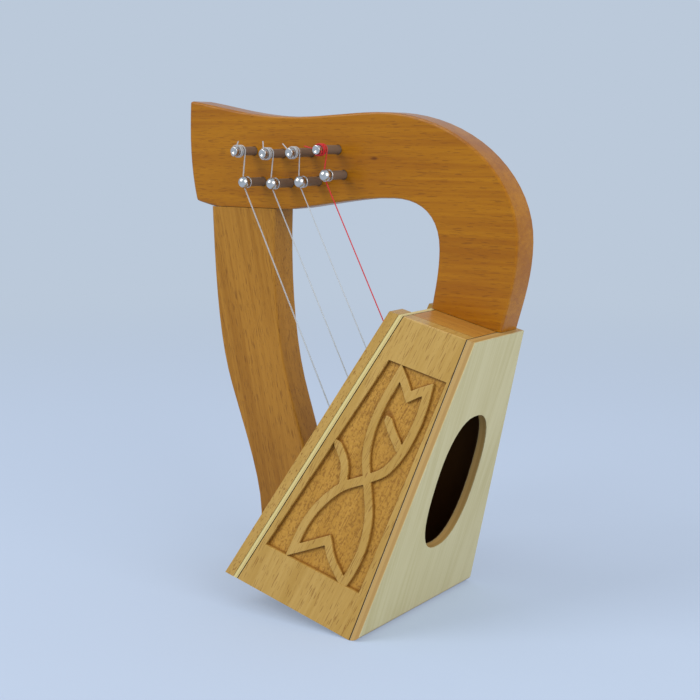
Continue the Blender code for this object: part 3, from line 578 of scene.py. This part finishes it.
@dataclass
class Soundbox:
    """The tapered soundbox: its boards, their finish and the carved sides."""

    tilt: float = math.radians(12.76)
    height: float = 0.1717
    depth_foot: float = 0.0865
    depth_top: float = 0.0453
    back_lean: float = 0.0133
    width_foot: float = 0.1180
    width_top: float = 0.0520
    back_ply: float = 0.0053
    front_ply: float = 0.0027
    grain_lean: float = 0.19
    glue_line: float = 0.0002
    recess_depth: float = 0.0025
    recess_foot: float = 0.0256
    recess_head: float = 0.1476
    recess_corners: tuple[Point, ...] = (
        (-0.0745, 0.0256), (-0.0081, 0.0256), (0.0041, 0.1476), (-0.0329, 0.1476))
    rib_width: float = 0.0047
    rib_drop: float = 0.0002
    rib_root: float = 0.0002
    rib_grit: float = 0.00026
    mitre: float = 0.38
    point_width: float = 0.15
    point_growth: float = 0.3
    # reach of the painted shade beside the ribs and the recess's walls
    crease_shade_reach: float = 0.0017
    ground_columns: int = 110
    ground_rows: int = 200
    ground_inset: float = 0.0002
    ground_lift: float = 0.0003
    punch_size: float = 0.0016
    punch_depth: float = 0.00042
    upper_leaf: tuple[tuple[Point, ...], ...] = (
        ((-0.0246, 0.0838), (-0.0292, 0.0950), (-0.0309, 0.1075), (-0.0296, 0.1215),
         (-0.0268, 0.1335), (-0.0240, 0.1435)),
        ((-0.0240, 0.1435), (-0.0193, 0.1385), (-0.0150, 0.1330)),
        ((-0.0150, 0.1330), (-0.0105, 0.1368), (-0.0052, 0.1404)),
        ((-0.0052, 0.1404), (-0.0048, 0.1330), (-0.0053, 0.1215), (-0.0086, 0.1056),
         (-0.0150, 0.0921), (-0.0246, 0.0838)),
    )
    lower_leaf: tuple[tuple[Point, ...], ...] = (
        ((-0.0246, 0.0838), (-0.0387, 0.0735), (-0.0488, 0.0593), (-0.0543, 0.0458),
         (-0.0570, 0.0300)),
        ((-0.0570, 0.0300), (-0.0475, 0.0365), (-0.0368, 0.0440)),
        ((-0.0368, 0.0440), (-0.0310, 0.0355), (-0.0195, 0.0262)),
        ((-0.0195, 0.0262), (-0.0170, 0.0340), (-0.0150, 0.0450), (-0.0150, 0.0560),
         (-0.0176, 0.0682), (-0.0246, 0.0838)),
    )
    branches: tuple[tuple[Point, ...], ...] = (
        ((-0.0243, 0.1196), (-0.0197, 0.1140), (-0.0131, 0.1076), (-0.0108, 0.1054)),
        ((-0.0510, 0.0966), (-0.0440, 0.0905), (-0.0400, 0.0845), (-0.0378, 0.0745)),
        ((-0.0195, 0.0290), (-0.0200, 0.0235)),
    )

    def __post_init__(self) -> None:
        """Work out the slants and where the box's own frame lies."""
        run = self.back_lean - self.depth_top + self.depth_foot
        self.front_angle = math.atan2(run, self.height)
        self.back_angle = math.atan2(self.back_lean, self.height)
        self.slant = math.atan2((self.width_foot - self.width_top) / 2, self.height)
        corner = self.turned(self.back_lean, self.height)
        inner = self.turned(self.back_lean - self.back_ply / math.cos(self.back_angle), self.height)
        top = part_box("back_panel")[1]
        self.origin = Vector((top.x - corner[0], 0.0, top.z - inner[1]))

    def turned(self, x: float, z: float) -> Point:
        """Turn x and z in the box's own frame by its tilt."""
        cosine, sine = math.cos(self.tilt), math.sin(self.tilt)
        return x * cosine + z * sine, z * cosine - x * sine

    def side_matrix(self) -> Matrix:
        """From the near side's own plane (along, up, outward) to the frame."""
        sine, cosine = math.sin(self.slant), math.cos(self.slant)
        plane = Matrix(((1, 0, 0, 0), (0, sine, -cosine, -self.width_foot / 2),
                        (0, cosine, sine, 0), (0, 0, 0, 1)))
        turn = Matrix.Rotation(self.tilt, 4, "Y")
        return Matrix.Translation(self.origin) @ turn @ plane

    def on_side(self, point: Point) -> Point:
        """A point's place on the side's plane, from its x and z in the box."""
        return point[0], point[1] / math.cos(self.slant)

    def ground(self) -> Item:
        """The punched ground on the near side: a fine sheet over the recess's floor, carrying
        painted shade that darkens it near the ribs and the walls.
        """
        marks = [point for points, _ in self.lines() for point in points]
        tree = kdtree.KDTree(len(marks))
        for index, mark in enumerate(marks):
            tree.insert((mark.x, mark.y, 0.0), index)
        tree.balance()
        bpy.ops.mesh.primitive_grid_add(
            x_subdivisions=self.ground_columns, y_subdivisions=self.ground_rows, size=2)
        item = named("carved_ground_near")
        corners = [Vector(self.on_side(corner)) for corner in self.recess_corners]
        centre = (corners[0] + corners[2]) / 2
        # painted shade: the closer a point lies to a rib or to the recess's wall, the darker it is
        # painted
        burn = item.data.attributes.new("burn", "FLOAT", "POINT")
        for vert in item.data.vertices:
            across, up = (vert.co.x + 1) / 2, (vert.co.y + 1) / 2
            foot = corners[0].lerp(corners[1], across)
            head = corners[3].lerp(corners[2], across)
            spot = foot.lerp(head, up)
            span = corners[0].lerp(corners[3], up) - corners[1].lerp(corners[2], up)
            wall = min(
                min(across, 1 - across) * span.length, min(up, 1 - up) * (head - foot).length)
            rib = tree.find((spot.x, spot.y, 0.0))[2] - self.rib_width / 2
            burn.data[vert.index].value = max(0.0, 1 - max(0.0, min(wall, rib)) / self.crease_shade_reach)
            spot += (centre - spot).normalized() * self.ground_inset
            vert.co = (spot.x, spot.y, -self.recess_depth + self.ground_lift)
        texture = bpy.data.textures.new("punch_marks", "VORONOI")
        texture.noise_scale = self.punch_size
        texture.distance_metric = "DISTANCE_SQUARED"
        dents = item.modifiers.new("dents", "DISPLACE")
        dents.texture = texture
        dents.texture_coords = "LOCAL"
        dents.strength = self.punch_depth
        dents.mid_level = 0.35
        apply_all(item)
        return item

    def lines(self) -> list[tuple[list[Vector], bool]]:
        """Middle lines of the ribs, and whether each one closes on itself."""
        lines = []
        for leaf in (self.upper_leaf, self.lower_leaf):
            lines.append(([point for spots in leaf for point in self.stretch(spots)], True))
        for spots in self.branches:
            lines.append(([*self.stretch(spots), Vector(self.on_side(spots[-1]))], False))
        return lines

    def stretch(self, spots: tuple[Point, ...], steps: int = 9) -> list[Vector]:
        """Points of a smooth curve through spots, without the last one.

        Args:
            spots: points in the box's own frame.
            steps: points for each span between two spots.

        Returns:
            Points on the side's plane.
        """
        knots = [Vector(self.on_side(spot)) for spot in spots]
        knots = [2 * knots[0] - knots[1], *knots, 2 * knots[-1] - knots[-2]]
        points = []
        for before, first, second, after in zip(knots, knots[1:], knots[2:], knots[3:]):
            leave, arrive = (second - before) / 2, (after - first) / 2
            for step in range(steps):
                t = step / steps
                points.append(
                    first * (2 * t ** 3 - 3 * t * t + 1) + leave * (t ** 3 - 2 * t * t + t)
                    + second * (3 * t * t - 2 * t ** 3) + arrive * (t ** 3 - t * t))
        return points

    def ribbon(self, points: list[Vector], closed: bool) -> Item:
        """A rib of even width along points, with mitred corners and a pointed start.

        Args:
            points: its middle line on the side's plane.
            closed: whether the last point joins the first.

        Returns:
            The rib as a closed block.
        """
        count, half = len(points), self.rib_width / 2
        rows = []
        for index, point in enumerate(points):
            before = points[index - 1] if closed or index else 2 * point - points[1]
            after = points[(index + 1) % count] if closed or index < count - 1 else (
                2 * point - points[index - 1])
            arrive, leave = (point - before).normalized(), (after - point).normalized()
            middle = (arrive + leave).normalized()
            across = Vector((-middle.y, middle.x))
            reach = half / max(self.mitre, across.dot(Vector((-arrive.y, arrive.x))))
            if not closed:
                reach *= min(1.0, self.point_width + self.point_growth * index)
            rows.append((point - across * reach, point + across * reach))
        bpy.ops.mesh.primitive_plane_add(size=self.rib_width)
        item = bpy.context.object
        bm = bmesh.new()
        foot = -self.recess_depth - self.rib_root
        verts = [[bm.verts.new((spot.x, spot.y, foot)) for spot in row] for row in rows]
        for index in range(count if closed else count - 1):
            first, second = verts[index], verts[(index + 1) % count]
            bm.faces.new((first[0], first[1], second[1], second[0]))
        bm.to_mesh(item.data)
        bm.free()
        with editing(item):
            bpy.ops.mesh.extrude_region_move(
                TRANSFORM_OT_translate={"value": (0, 0, -self.rib_drop - foot)})
            bpy.ops.mesh.select_all(action="SELECT")
            bpy.ops.mesh.normals_make_consistent(inside=False)
        return item

    def relief(self) -> Item:
        """The near side's interlaced ribs, left standing by the carver."""
        pieces = [self.ribbon(points, closed) for points, closed in self.lines()]
        bpy.ops.object.select_all(action="DESELECT")
        for item in pieces:
            item.select_set(True)
        bpy.context.view_layer.objects.active = pieces[0]
        bpy.ops.object.join()
        item = named("carved_ribs_near")
        remesh = item.modifiers.new("one block", "REMESH")
        remesh.mode = "VOXEL"
        remesh.voxel_size = self.rib_grit
        relax = item.modifiers.new("tool marks sanded", "SMOOTH")
        relax.factor = 0.5
        relax.iterations = 3
        apply_all(item)
        return item

    def place_pair(self, item: Item, materials: dict) -> None:
        """Move a piece from the side's plane to the near side, and mirror it to the far side.

        Args:
            item: the piece, modelled on the near side's plane.
            materials: its material for each side.
        """
        item.data.transform(self.side_matrix())
        item.data.update()
        smooth(item, 50.0)
        far = item.copy()
        far.data = item.data.copy()
        far.name = item.name.replace("near", "far")
        bpy.context.scene.collection.objects.link(far)
        with editing(far):
            bpy.ops.transform.resize(
                value=(1, -1, 1), center_override=(0, 0, 0), orient_type="GLOBAL")
            bpy.ops.mesh.flip_normals()
        for piece, side in ((item, Side.NEAR), (far, Side.FAR)):
            dress(piece, materials[side])
            settle(piece, BODY, "side_wood")

    def carved_finish(self, kind: type, name: str, side: Side) -> Material:
        """The carved finish of a side, measured from its outer face.

        Args:
            kind: the finish's class.
            name: the finish's name.
            side: the side that it is for.

        Returns:
            The finish's material.
        """
        matrix = self.side_matrix()
        normal = (matrix.to_3x3() @ Vector((0, 0, 1))).normalized()
        up = (matrix.to_3x3() @ Vector((0, 1, 0))).normalized()
        start = matrix.translation
        if side is Side.FAR:
            normal.y, up.y, start.y = -normal.y, -up.y, -start.y
        reach = [self.on_side((0, level))[1] for level in (self.recess_foot, self.recess_head)]
        extra = {
            "normal": tuple(normal), "face": normal.dot(start), "up": tuple(up),
            "low": up.dot(start) + reach[0] - 0.0004, "high": up.dot(start) + reach[1] + 0.0004,
            "pale": screen(190, 154, 84), "deep": screen(176, 138, 66),
        } if kind is CarvedBeech else {"pale": screen(192, 144, 62), "deep": screen(176, 128, 48)}
        finish = kind(
            name=f"{name}_{side.name.lower()}", fleck=screen(126, 82, 28), flecks=0.6,
            fleck_depth=0.006, lean=self.tilt + self.grain_lean, **extra)
        return finish.material()

    def build(self) -> None:
        """Dress the boards and carve the sides."""
        boards = {side: self.carved_finish(CarvedBeech, "side_beech", side) for side in Side}
        grounds = {side: self.carved_finish(Stippled, "punched_beech", side) for side in Side}
        self.place_pair(self.ground(), grounds)
        self.place_pair(self.relief(), boards)
        strip = Beech(
            name="strip_beech", pale=screen(190, 153, 82), deep=screen(174, 136, 64),
            fleck=screen(122, 78, 24), lean=self.tilt + self.front_angle)
        strip_wood = strip.material()
        for side in Side:
            word = side.name.lower()
            refinish(f"side_panel_{word}", f"side_board_{word}", boards[side], "side_wood")
            refinish(f"soundboard_trim_{word}", f"trim_strip_{word}", strip_wood, "side_wood")
        self.build_plies()
        plain = Beech(
            name="plain_beech", pale=screen(190, 138, 60), deep=screen(172, 118, 44),
            fleck=screen(116, 74, 24), lean=QUARTER_TURN + self.tilt, gloss=0.4)
        wood = plain.material()
        for node in (
            "top_block", "bottom_panel", "bottom_block", "string_rib",
            "neck_dowel_1", "neck_dowel_2", "pillar_dowel_1", "pillar_dowel_2",
        ):
            dress(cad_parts[node], wood)

    def build_plies(self) -> None:
        """Dress the back panel and the soundboard."""
        origin = self.origin
        back_turn = self.tilt + self.back_angle
        back_face = origin.x * math.cos(back_turn) - origin.z * math.sin(back_turn)
        back = BirchPly(
            name="back_ply", face=screen(202, 192, 148), shade=screen(188, 176, 126),
            edge=screen(186, 150, 90), brown=screen(160, 122, 66), normal_lean=back_turn,
            outside=back_face, thickness=self.back_ply, hidden=1.0)
        item = sanded_copy("back_panel", "back_board")
        inward = Vector((-math.cos(back_turn), 0.0, math.sin(back_turn)))
        for vert in item.data.vertices:
            if -inward.dot(vert.co) < back_face - self.back_ply / 2:
                vert.co += inward * self.glue_line
        dress(item, back.material())
        settle(item, BODY, "birch_ply", "back_panel")
        front_turn = self.tilt + self.front_angle
        corner = self.turned(-self.depth_foot, 0.0)
        place = origin + Vector((corner[0], 0.0, corner[1]))
        front_face = place.x * math.cos(front_turn) - place.z * math.sin(front_turn)
        front = BirchPly(
            name="soundboard_ply", face=screen(208, 196, 140), shade=screen(190, 170, 108),
            edge=screen(214, 198, 134), brown=screen(176, 148, 88), normal_lean=front_turn,
            outside=front_face - 0.0003, thickness=self.front_ply, hidden=0.0)
        refinish("soundboard", "sounding_board", front.material(), "birch_ply")


@dataclass
class Bow:
    """The neck and the pillar, sawn from one board."""

    neck: Beech = Beech(
        name="neck_beech", pale=screen(174, 113, 6), deep=screen(152, 91, 2),
        fleck=screen(100, 52, 4), lean=QUARTER_TURN, gloss=0.32, flecks=0.42,
        knot=(0.0245, 0.0, 0.2555))
    pillar: Beech = Beech(
        name="pillar_beech", pale=screen(175, 122, 40), deep=screen(153, 101, 24),
        fleck=screen(108, 64, 10), lean=-0.2, gloss=0.36, flecks=0.55)

    def build(self) -> None:
        """Dress both boards."""
        for node, name, slot, wood in (
            ("neck", "neck_board", "neck_wood", self.neck),
            ("pillar", "pillar_board", "pillar_wood", self.pillar),
        ):
            refinish(node, name, wood.material(), slot)


@dataclass
class Pins:
    """The tuning pins and the bridge pins, turned from steel."""

    sides: int = 48
    edge: float = 0.0005
    soft_edge: float = 0.0002
    dimple_radius: float = 0.0012
    dimple_depth: float = 0.0005
    bridge_shaft: float = 0.0026
    collar: float = 0.0034
    collar_width: float = 0.0008
    groove_reach: float = 0.0153
    groove_radius: float = 0.0018
    groove_width: float = 0.0016
    dome: float = 0.0035

    def spun(self, name: str, profile: list[Point], node: str) -> Item:
        """Spin a profile round a pin's axis.

        Args:
            name: the piece's name.
            profile: points of reach before the neck's face and radius.
            node: the node whose axis the pin has.

        Returns:
            The turned pin.
        """
        x, z = pin_axis(node)
        bpy.ops.mesh.primitive_circle_add(vertices=len(profile), radius=1.0)
        item = named(name)
        bm = bmesh.new()
        verts = [bm.verts.new((radius, -reach, 0.0)) for reach, radius in profile]
        for pair in zip(verts, verts[1:]):
            bm.edges.new(pair)
        bm.to_mesh(item.data)
        bm.free()
        with editing(item):
            bpy.ops.mesh.spin(
                steps=self.sides, angle=2 * math.pi, center=(0, 0, 0), axis=(0, 1, 0))
            bpy.ops.mesh.select_all(action="SELECT")
            bpy.ops.mesh.remove_doubles(threshold=0.000005)
            bpy.ops.mesh.normals_make_consistent(inside=False)
        item.data.transform(Matrix.Translation((x, neck_face(), z)))
        smooth(item, 35.0)
        return item

    def tuning_profile(self, number: int) -> list[Point]:
        """A tuning pin's profile, from its hidden end to its dimple.

        Args:
            number: the pin's number.

        Returns:
            Points of reach before the neck's face and radius.
        """
        low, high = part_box(f"tuning_pin_{number}")
        radius = (high.x - low.x) / 2
        reach, embed = neck_face() - low.y, high.y - neck_face()
        points = [(-embed, 0.0), (-embed, radius - self.edge), (-embed + self.edge, radius)]
        points += [(reach * share, radius) for share in (0.0, 0.5)]
        points += arc(
            (reach - self.edge, radius - self.edge), (self.edge, self.edge), 0, QUARTER_TURN, 4)
        dimple = arc((reach, 0.0), (-self.dimple_depth, self.dimple_radius), 0, QUARTER_TURN, 4)
        return [*points, *dimple[1:-1], (reach - self.dimple_depth, 0.0)]

    def bridge_profile(self, number: int) -> list[Point]:
        """A bridge pin's profile: shaft, collar, groove and dome.

        Args:
            number: the pin's number.

        Returns:
            Points of reach before the neck's face and radius.
        """
        low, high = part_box(f"bridge_pin_{number}")
        embed, tip = high.y - neck_face(), neck_face() - low.y
        back = self.groove_reach - self.groove_width / 2
        front = self.groove_reach + self.groove_width / 2
        soft = self.soft_edge
        points = [
            (-embed, 0.0), (-embed, self.bridge_shaft), (0.0, self.bridge_shaft),
            (back - self.collar_width, self.bridge_shaft),
            (back - self.collar_width, self.collar - soft),
            (back - self.collar_width + soft, self.collar), (back - soft, self.collar)]
        waist = self.collar - self.groove_radius
        points += arc(
            (self.groove_reach, self.collar - soft), (-self.groove_width / 2, waist - soft),
            QUARTER_TURN, 3 * QUARTER_TURN, 8)
        centre = tip - self.dome
        first = math.asin(max(-1.0, (front - centre) / self.dome))
        points += arc((centre, 0.0), (self.dome, self.dome), first, QUARTER_TURN, 10)[:-1]
        return [*points, (tip, 0.0)]

    def build(self) -> None:
        """Turn all the pins."""
        steel = Nickel().material()
        for number in STRINGS:
            name = f"tuning_pin_{number}"
            pin = self.spun(f"tuner_{number}", self.tuning_profile(number), name)
            dress(pin, steel)
            settle(pin, name, "pin_steel", name)
            node = f"bridge_pin_{number}"
            pin = self.spun(f"bridge_{number}", self.bridge_profile(number), node)
            dress(pin, steel)
            settle(pin, BODY, "pin_steel", node)
        for node in ("foot_screw_1", "foot_screw_2"):
            dress(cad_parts[node], steel)


@dataclass
class Strings:
    """The strings, from their knots to their wound ends."""

    box: Soundbox
    diameters: tuple[float, ...] = (0.0009, 0.0008, 0.0007, 0.0007)
    anchors: tuple[float, ...] = (0.0760, 0.1010, 0.1247, 0.1462)
    tail_degrees: tuple[float, ...] = (69, 95, 138, 168)
    tail_lengths: tuple[float, ...] = (0.0062, 0.0072, 0.0075, 0.0096)
    knot: float = 0.0016
    rib_thick: float = 0.0050
    glue: float = 0.0003
    coil_gap: float = 0.0005
    corner: float = 1.05
    tail_droop: float = 0.0006
    eye_from_tip: float = 0.0018
    groove_radius: float = 0.0018
    groove_reach: float = 0.0153
    hidden: float = math.radians(215)
    turns: int = 2
    loop_points: int = 40

    def tube(self, name: str, points: list, radius: float, swells: list | None) -> Item:
        """A round tube along points, as a mesh.

        Args:
            name: the piece's name.
            points: its middle line.
            radius: its radius.
            swells: the radius's factor at each point.

        Returns:
            The tube.
        """
        bpy.ops.curve.primitive_nurbs_path_add()
        item = named(name)
        curve = item.data
        curve.splines.clear()
        curve.bevel_depth = radius
        curve.bevel_resolution = 4
        curve.use_fill_caps = True
        spline = curve.splines.new("POLY")
        spline.points.add(len(points) - 1)
        for index, spot in enumerate(points):
            spline.points[index].co = (*spot, 1.0)
            spline.points[index].radius = swells[index] if swells else 1.0
        only(item)
        bpy.ops.object.convert(target="MESH")
        item = bpy.context.object
        with editing(item):
            bpy.ops.mesh.normals_make_consistent(inside=False)
        smooth(item, 60.0)
        return item

    def pin_facts(self, index: int) -> tuple[float, float, float]:
        """A winding's radius, the height of the pin's eye and the pitch of the turns."""
        low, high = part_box(f"tuning_pin_{index + 1}")
        radius = (high.x - low.x) / 2 + self.diameters[index] / 2 + self.glue
        eye = neck_face() - low.y - self.eye_from_tip
        return radius, eye, self.diameters[index] + self.coil_gap

    def winding_span(self, index: int) -> tuple[float, float, float, float]:
        """Start angle, end angle, corner radius and inner height of a winding."""
        radius, eye, pitch = self.pin_facts(index)
        corner = self.corner * self.diameters[index]
        lead = math.asin(corner / (radius - corner))
        start = self.hidden - 2 * math.pi * self.turns
        end = math.radians(self.tail_degrees[index]) + math.pi - lead
        return start, end, corner, eye - ((end - start) / (2 * math.pi) + 0.5) * pitch

    def winding(self, index: int) -> list:
        """Middle line of a winding: its turns, the corner into the eye, and the tail.

        Args:
            index: the string's place in the tables, from 0.

        Returns:
            Its points in the frame.
        """
        radius, eye, pitch = self.pin_facts(index)
        start, end, corner, inner = self.winding_span(index)
        count = math.ceil((end - start) / (2 * math.pi) * self.loop_points)
        heading = polar(1.0, start + QUARTER_TURN)
        points = [polar(radius, start, inner) - heading * self.diameters[index]]
        for item in range(count + 1):
            angle = start + (end - start) * item / count
            left = (end - angle) / (2 * math.pi)
            climb = pitch * (2 * left if left < 0.5 else left + 0.5)
            points.append(polar(radius, angle, eye - climb))
        tail = math.radians(self.tail_degrees[index])
        middle = polar(radius - corner, end)
        sweep = tail + 1.5 * math.pi - end
        for item in range(1, 7):
            angle = end + sweep * item / 6
            points.append(middle + polar(corner, angle, eye))
        tip = polar(self.tail_lengths[index], tail, eye)
        bend = Vector((0.0, 0.0, -self.tail_droop))
        inside = points[-1].copy()
        for item in range(1, 9):
            share = item / 8
            points.append(inside.lerp(tip, share) + bend * max(0.0, share - 0.6) ** 2)
        x, z = pin_axis(f"tuning_pin_{index + 1}")
        face = neck_face()
        return [(x + spot.x, face - spot.z, z + spot.y) for spot in points]

    def tangent(self, start: Point, start_side: float, end: Point, end_side: float) -> float:
        """Direction of the line that touches two circles.

        Args:
            start: the first circle's centre.
            start_side: its radius, positive where it lies on the line's left.
            end: the second circle's centre.
            end_side: its radius, in the same way.

        Returns:
            The line's angle from +X.
        """
        offset = math.asin((end_side - start_side) / math.dist(start, end))
        return math.atan2(end[1] - start[1], end[0] - start[0]) - offset

    def around(self, centre: Point, side: float, first: float, last: float, steps: int) -> list:
        """Points on a circle where a touching line turns from first to last.

        Args:
            centre: the circle's centre.
            side: its radius, positive where it lies on the line's left.
            first: the line's angle at the start.
            last: its angle at the end.
            steps: the number of spans between the points.

        Returns:
            The points, both ends among them.
        """
        points = []
        for step in range(steps + 1):
            left = first + (last - first) * step / steps + QUARTER_TURN
            points.append((
                centre[0] - side * math.cos(left), centre[1] - side * math.sin(left)))
        return points

    def route(self, index: int) -> tuple[list, list]:
        """Middle line of a string and its swelling at the knot.

        Args:
            index: the string's place in the tables, from 0.

        Returns:
            Its points in the frame, and the radius's factor at each.
        """
        box = self.box
        diameter = self.diameters[index]
        level = self.anchors[index] * math.cos(box.front_angle)
        proud = (box.front_ply + self.glue) / math.cos(box.front_angle)
        run = box.back_lean - box.depth_top + box.depth_foot
        spot = box.turned(run * level / box.height - box.depth_foot - proud, level)
        anchor = (spot[0] + box.origin.x, spot[1] + box.origin.z)
        bridge = pin_axis(f"bridge_pin_{index + 1}")
        tuning = pin_axis(f"tuning_pin_{index + 1}")
        radius, _, pitch = self.pin_facts(index)
        over = -(self.groove_radius + diameter / 2 + self.glue)
        rise = self.tangent(anchor, 0.0, bridge, over)
        lift = self.tangent(bridge, over, tuning, radius)
        groove_y = neck_face() - self.groove_reach
        wrap_y = neck_face() - self.winding_span(index)[3] + pitch
        last = self.hidden + QUARTER_TURN
        steps = math.ceil((last - lift) / (2 * math.pi) * self.loop_points)
        on_pin = self.around(tuning, radius, lift, last, steps)
        on_pin.append((
            on_pin[-1][0] + diameter * math.cos(last), on_pin[-1][1] + diameter * math.sin(last)))
        points = [
            Vector((x, groove_y, z)) for x, z in self.around(bridge, over, rise, lift, 8)]
        points += [Vector((x, wrap_y, z)) for x, z in on_pin]
        start = Vector((anchor[0], 0.0, anchor[1]))
        inward = (start - points[0]).normalized()
        turn = box.tilt + box.front_angle
        sink = inward.x * math.cos(turn) - inward.z * math.sin(turn)
        depth = box.front_ply + 2 * self.glue + self.rib_thick + self.knot
        centre = start + inward * (depth / sink)
        bulge = self.knot / (diameter / 2)
        steps = 8
        lead, swells = [], []
        for step in range(steps):
            angle = math.pi * (step + 0.5) / steps
            lead.append(centre + inward * self.knot * math.cos(angle))
            swells.append(bulge * math.sin(angle))
        lead.append(centre - inward * self.knot * 1.15)
        swells.append(1.0)
        return lead + points, swells + [1.0] * len(points)

    def build(self) -> None:
        """Make the strings and their windings."""
        clear = Nylon("clear_nylon", screen(190, 194, 196), 0.5).material()
        red = Nylon("red_nylon", screen(206, 20, 34), 0.75).material()
        for number in STRINGS:
            index = number - 1
            last = number == STRINGS[-1]
            nylon, slot = (red, "red_nylon") if last else (clear, "clear_nylon")
            points, swells = self.route(index)
            line = self.tube(f"line_{number}", points, self.diameters[index] / 2, swells)
            dress(line, nylon)
            settle(line, BODY, slot, f"string_{number}")
            coil = self.tube(f"coil_{number}", self.winding(index), self.diameters[index] / 2, None)
            dress(coil, nylon)
            settle(coil, f"tuning_pin_{number}", slot, f"string_winding_{number}")


@dataclass
class Studio:
    """The floor, the lamps and the camera."""

    camera_place: Place = (0.4269, -0.5695, 0.2655)
    camera_down: float = math.radians(9.6)
    camera_turn: float = math.radians(36.1)
    lens: float = 63.77
    floor_colour: Colour = screen(188, 204, 228)
    back_colour: Colour = screen(187, 201, 218)
    paper_lit: float = 0.66
    paper_glow: float = 0.38
    floor_side: float = 14.0
    fade_start: float = 0.35
    fade_end: float = 1.5
    world_colour: Colour = (1.0, 0.99, 0.97)
    world_strength: float = 0.62
    aim: Place = (0.0, 0.0, 0.12)

    def floor(self) -> None:
        """A pale floor."""
        bpy.ops.mesh.primitive_plane_add(size=self.floor_side)
        item = named("studio_floor")
        dress(item, self.paper())

    def paper(self) -> Material:
        """Pale paper that keeps the harp's shadow and fades into the backdrop."""
        board = Board("studio_paper")
        board.surface(Base_Color=self.floor_colour, Roughness=0.9, Specular_IOR_Level=0.0)
        lit = board.add("BsdfDiffuse", {
            "Color": (*(channel * self.paper_lit for channel in self.floor_colour), 1.0)})
        glow = board.add("Emission", {
            "Color": (*self.floor_colour, 1.0), "Strength": self.paper_glow})
        near = board.add("AddShader", {0: lit.outputs[0], 1: glow.outputs[0]})
        far = board.add("Emission", {"Color": (*self.back_colour, 1.0), "Strength": 1.0})
        fade = board.step(board.vector("LENGTH", board.place()), self.fade_start, self.fade_end)
        board.show(board.add(
            "MixShader", {0: fade, 1: near.outputs[0], 2: far.outputs[0]}))
        return board.owner

    def world(self) -> None:
        """Pale surroundings, seen as they are by the camera."""
        board = Board("studio", world=True)
        bpy.context.scene.world = board.surface(
            Color=self.world_colour, Strength=self.world_strength)
        board.show(board.add("Background", {"Color": (*self.back_colour, 1.0)}))

    def lamp(self, name: str, place: Place, size: float, power: float) -> None:
        """A square soft lamp that faces the harp.

        Args:
            name: the lamp's name.
            place: where it hangs.
            size: its side's length.
            power: its power in watts.
        """
        bpy.ops.object.light_add(type="AREA", location=place)
        lamp = named(name)
        lamp.data.size = size
        lamp.data.energy = power
        direction = Vector(self.aim) - Vector(place)
        lamp.rotation_euler = direction.to_track_quat("-Z", "Y").to_euler()

    def build(self) -> None:
        """Set the stage."""
        self.floor()
        self.world()
        self.lamp("window", (-0.9, -1.5, 1.5), 1.2, 20.0)
        self.lamp("fill", (1.6, -0.5, 0.9), 1.4, 17.0)
        bpy.ops.object.camera_add(
            location=self.camera_place,
            rotation=(QUARTER_TURN - self.camera_down, 0.0, self.camera_turn))
        camera = bpy.context.object
        camera.data.lens = self.lens
        camera.data.sensor_width = 36.0
        bpy.context.scene.camera = camera
        bpy.context.scene.view_settings.view_transform = "Standard"


def main() -> None:
    """Build every sub-assembly in order."""
    logging.basicConfig(level=logging.INFO, format="%(message)s")
    box = Soundbox()
    for part in (Studio(), box, Bow(), Pins(), Strings(box)):
        LOG.info("building %s", type(part).__name__)
        part.build()


if __name__ == "__main__":
    main()
